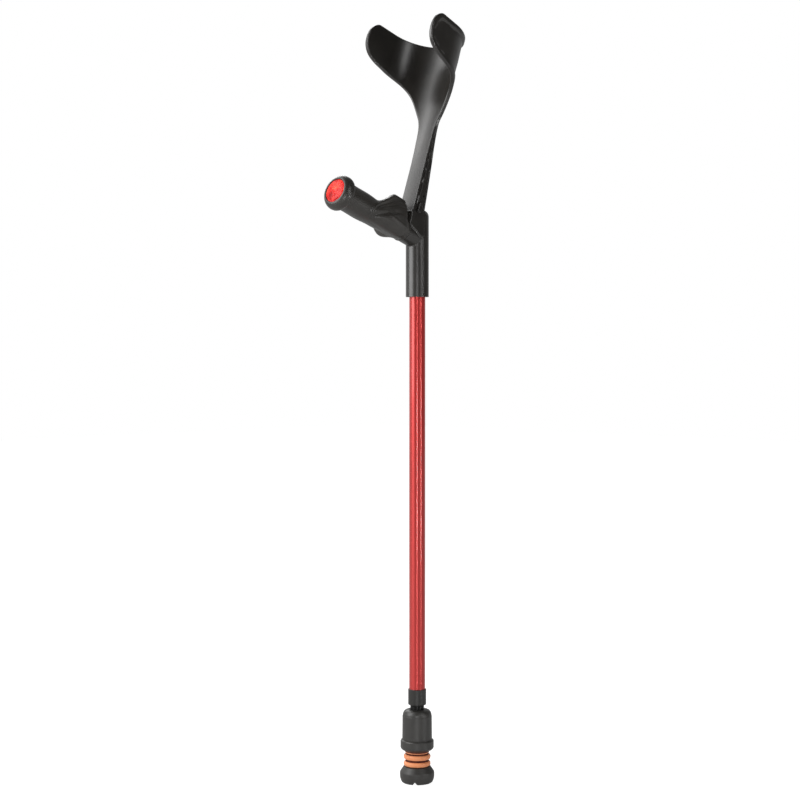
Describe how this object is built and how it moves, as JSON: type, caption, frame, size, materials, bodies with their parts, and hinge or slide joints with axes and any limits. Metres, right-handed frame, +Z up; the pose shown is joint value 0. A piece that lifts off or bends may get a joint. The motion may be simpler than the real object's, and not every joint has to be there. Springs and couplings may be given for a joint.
{
  "type": "forearm crutch",
  "caption": "Height-adjustable forearm crutch with an open cuff, a raised anatomic grip with an end reflector, and a cushioned tilting foot.",
  "frame": {"origin": "centre of the foot's ground face, on the tube axis, with the tube at its shortest setting", "axes": "+Z up the tube, +X forward, the way the handle points, +Y to the user's left"},
  "size_m": [0.2286, 0.125, 1.0429],
  "materials": {
    "red_tube": "glossy red anodised aluminium",
    "black_tube": "satin black anodised aluminium",
    "black_plastic": "satin, finely textured",
    "soft_grip": "soft matte",
    "reflector_back": "white",
    "reflector_red": "glossy clear red with moulded prisms",
    "steel": "plain",
    "ferrule_rubber": "satin",
    "bellows_rubber": "soft matte",
    "tread_rubber": "matte"
  },
  "bodies": {
    "upper": {"outer_tube": "red_tube", "tube_collar": "black_plastic", "handle_body": "black_plastic", "sleeve_rivet": "steel", "grip": "soft_grip", "reflector_back": "reflector_back", "reflector_lens": "reflector_red", "forearm_cuff": "black_plastic", "arm_pin": "steel", "socket_rivet": "black_plastic"},
    "lower": {"inner_tube": "black_tube", "guide_bush": "black_plastic", "snap_spring": "steel", "ferrule_housing": "ferrule_rubber", "load_washer": "steel", "retaining_ring": "ferrule_rubber"},
    "button": {"snap_button": "steel"},
    "post": {"guide_post": "steel", "post_clip": "steel"},
    "bellows_body": {"bellows": "bellows_rubber"},
    "foot": {"foot_core": "black_plastic", "ball_retainer": "black_plastic", "foot_tread": "tread_rubber"}
  },
  "joints": [
    {"name": "height_slide", "type": "slide", "parent": "upper", "child": "lower", "axis": [0, 0, -1], "range_m": [0, 0.228]},
    {"name": "button_press", "type": "slide", "parent": "lower", "child": "button", "axis": [1, 0, 0], "range_m": [0, 0.0033], "stiffness_N_per_m": 250, "springref_m": -0.006, "deforming": ["snap_spring"]},
    {"name": "foot_cushion", "type": "slide", "parent": "lower", "child": "post", "axis": [0, 0, 1], "range_m": [0, 0.005], "stiffness_N_per_m": 8000, "springref_m": -0.002, "deforming": ["bellows"]},
    {"name": "foot_tilt_side", "type": "hinge", "parent": "post", "child": "bellows_body", "pos_m": [0, 0, 0.0155], "axis": [1, 0, 0], "range_deg": [-8, 8], "stiffness_Nm_per_rad": 1.5},
    {"name": "foot_tilt_front", "type": "hinge", "parent": "bellows_body", "child": "foot", "pos_m": [0, 0, 0.0155], "axis": [0, 1, 0], "range_deg": [-8, 8], "stiffness_Nm_per_rad": 1.5}
  ]
}
